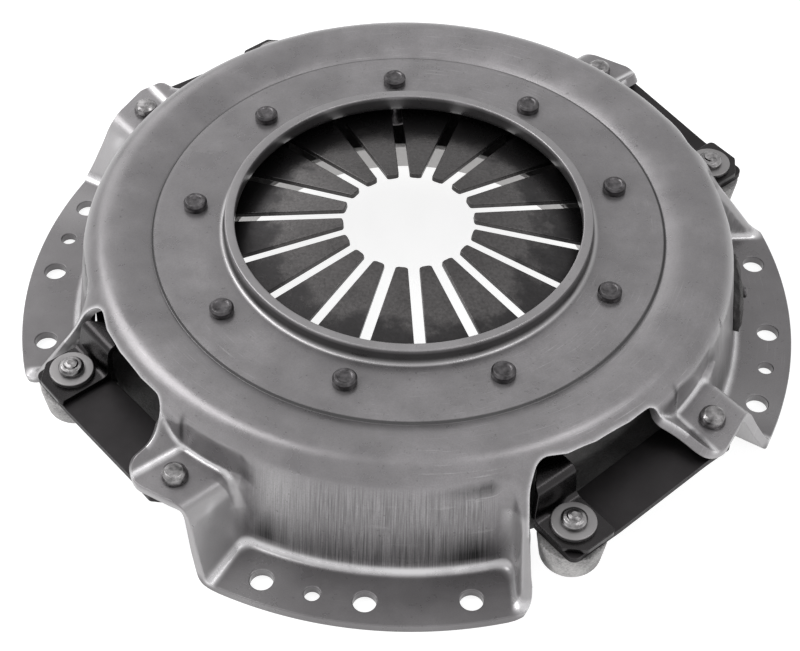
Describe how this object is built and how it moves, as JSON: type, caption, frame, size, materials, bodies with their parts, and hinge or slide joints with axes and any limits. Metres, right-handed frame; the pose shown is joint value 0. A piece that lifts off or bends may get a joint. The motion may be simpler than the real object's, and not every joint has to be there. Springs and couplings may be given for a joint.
{
  "type": "clutch pressure plate",
  "caption": "Diaphragm spring clutch pressure plate: pressed cover with bolt flanges, cast ring, fingers, leaf straps, retraction clips and rivets.",
  "frame": {"origin": "centre of the flange underside, the face that bolts to the flywheel", "axes": "+Z along the clutch axis towards the release bearing; +X through the middle of the flange sector that carries the balance weight"},
  "size_m": [0.4, 0.4, 0.0708],
  "materials": {
    "pressed_steel": "bare satin",
    "cast_iron": "grainy as cast, ground face",
    "spring_steel": "dark heat treated",
    "wire": "satin",
    "rivet_dark": "dark satin",
    "rivet_bright": "satin with worn ends",
    "washer": "satin",
    "clip_steel": "dark satin",
    "strap_steel": "dark satin",
    "weight_iron": "rough"
  },
  "bodies": {
    "cover_body": {"cover": "pressed_steel", "diaphragm_spring": "spring_steel", "fulcrum_ring_upper": "wire", "fulcrum_ring_lower": "wire", "spacer_rivets": "rivet_dark", "ear_rivets": "rivet_bright", "balance_weight": "weight_iron", "balance_weight_pin": "rivet_dark", "strap_1a": "strap_steel", "strap_1b": "strap_steel", "strap_1c": "strap_steel", "strap_2a": "strap_steel", "strap_2b": "strap_steel", "strap_2c": "strap_steel", "strap_3a": "strap_steel", "strap_3b": "strap_steel", "strap_3c": "strap_steel", "strap_4a": "strap_steel", "strap_4b": "strap_steel", "strap_4c": "strap_steel"},
    "plate_body": {"pressure_plate": "cast_iron", "lug_washers": "washer", "lug_rivets": "rivet_bright", "retraction_clip_1": "clip_steel", "retraction_clip_2": "clip_steel", "retraction_clip_3": "clip_steel", "retraction_clip_4": "clip_steel"}
  },
  "joints": [
    {"name": "plate_lift", "type": "slide", "parent": "cover_body", "child": "plate_body", "axis": [0, 0, 1], "range_m": [0, 0.002], "stiffness_N_per_m": 200000, "springref_m": -0.002, "deforming": ["diaphragm_spring", "strap_1a", "strap_1b", "strap_1c", "strap_2a", "strap_2b", "strap_2c", "strap_3a", "strap_3b", "strap_3c", "strap_4a", "strap_4b", "strap_4c"]}
  ]
}
